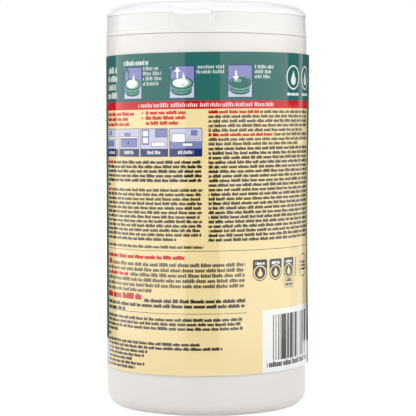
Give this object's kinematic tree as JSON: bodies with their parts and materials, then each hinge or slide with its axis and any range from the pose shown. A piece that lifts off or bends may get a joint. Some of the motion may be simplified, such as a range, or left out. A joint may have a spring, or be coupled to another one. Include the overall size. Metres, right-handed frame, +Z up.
{
  "type": "disinfecting wipes canister",
  "caption": "Round canister with a push-on lid and a hinged flip cap over a dispensing orifice, holding a coreless roll of wet wipes.",
  "frame": {"origin": "centre of the foot ring's plane, on the canister's axis", "axes": "+Z up along the canister's axis; the living hinge is on the -Y side and the thumb lip on the +Y side"},
  "size_m": [0.1139, 0.1139, 0.2222],
  "materials": {
    "canister_plastic": "white blow-moulded polyethylene, satin",
    "lid_plastic": "white injection-moulded polypropylene, soft gloss",
    "label_film": "printed film, gloss varnish",
    "leaflet_paper": "printed paper under gloss varnish",
    "nonwoven": "wet white nonwoven"
  },
  "bodies": {
    "canister": {"canister_body": "canister_plastic", "wrap_label": "label_film", "directions_leaflet": "leaflet_paper", "wipes_roll": "nonwoven", "leading_wipe": "nonwoven"},
    "lid": {"lid_base": "lid_plastic", "lid_deck": "lid_plastic"},
    "cap": {"flip_cap": "lid_plastic"}
  },
  "joints": [
    {"name": "lid_lift", "type": "slide", "parent": "canister", "child": "lid", "axis": [0, 0, 1], "range_m": [0, 0.03]},
    {"name": "cap_flip", "type": "hinge", "parent": "lid", "child": "cap", "pos_m": [0, -0.05505, 0.21615], "axis": [1, 0, 0], "range_deg": [0, 165]}
  ]
}
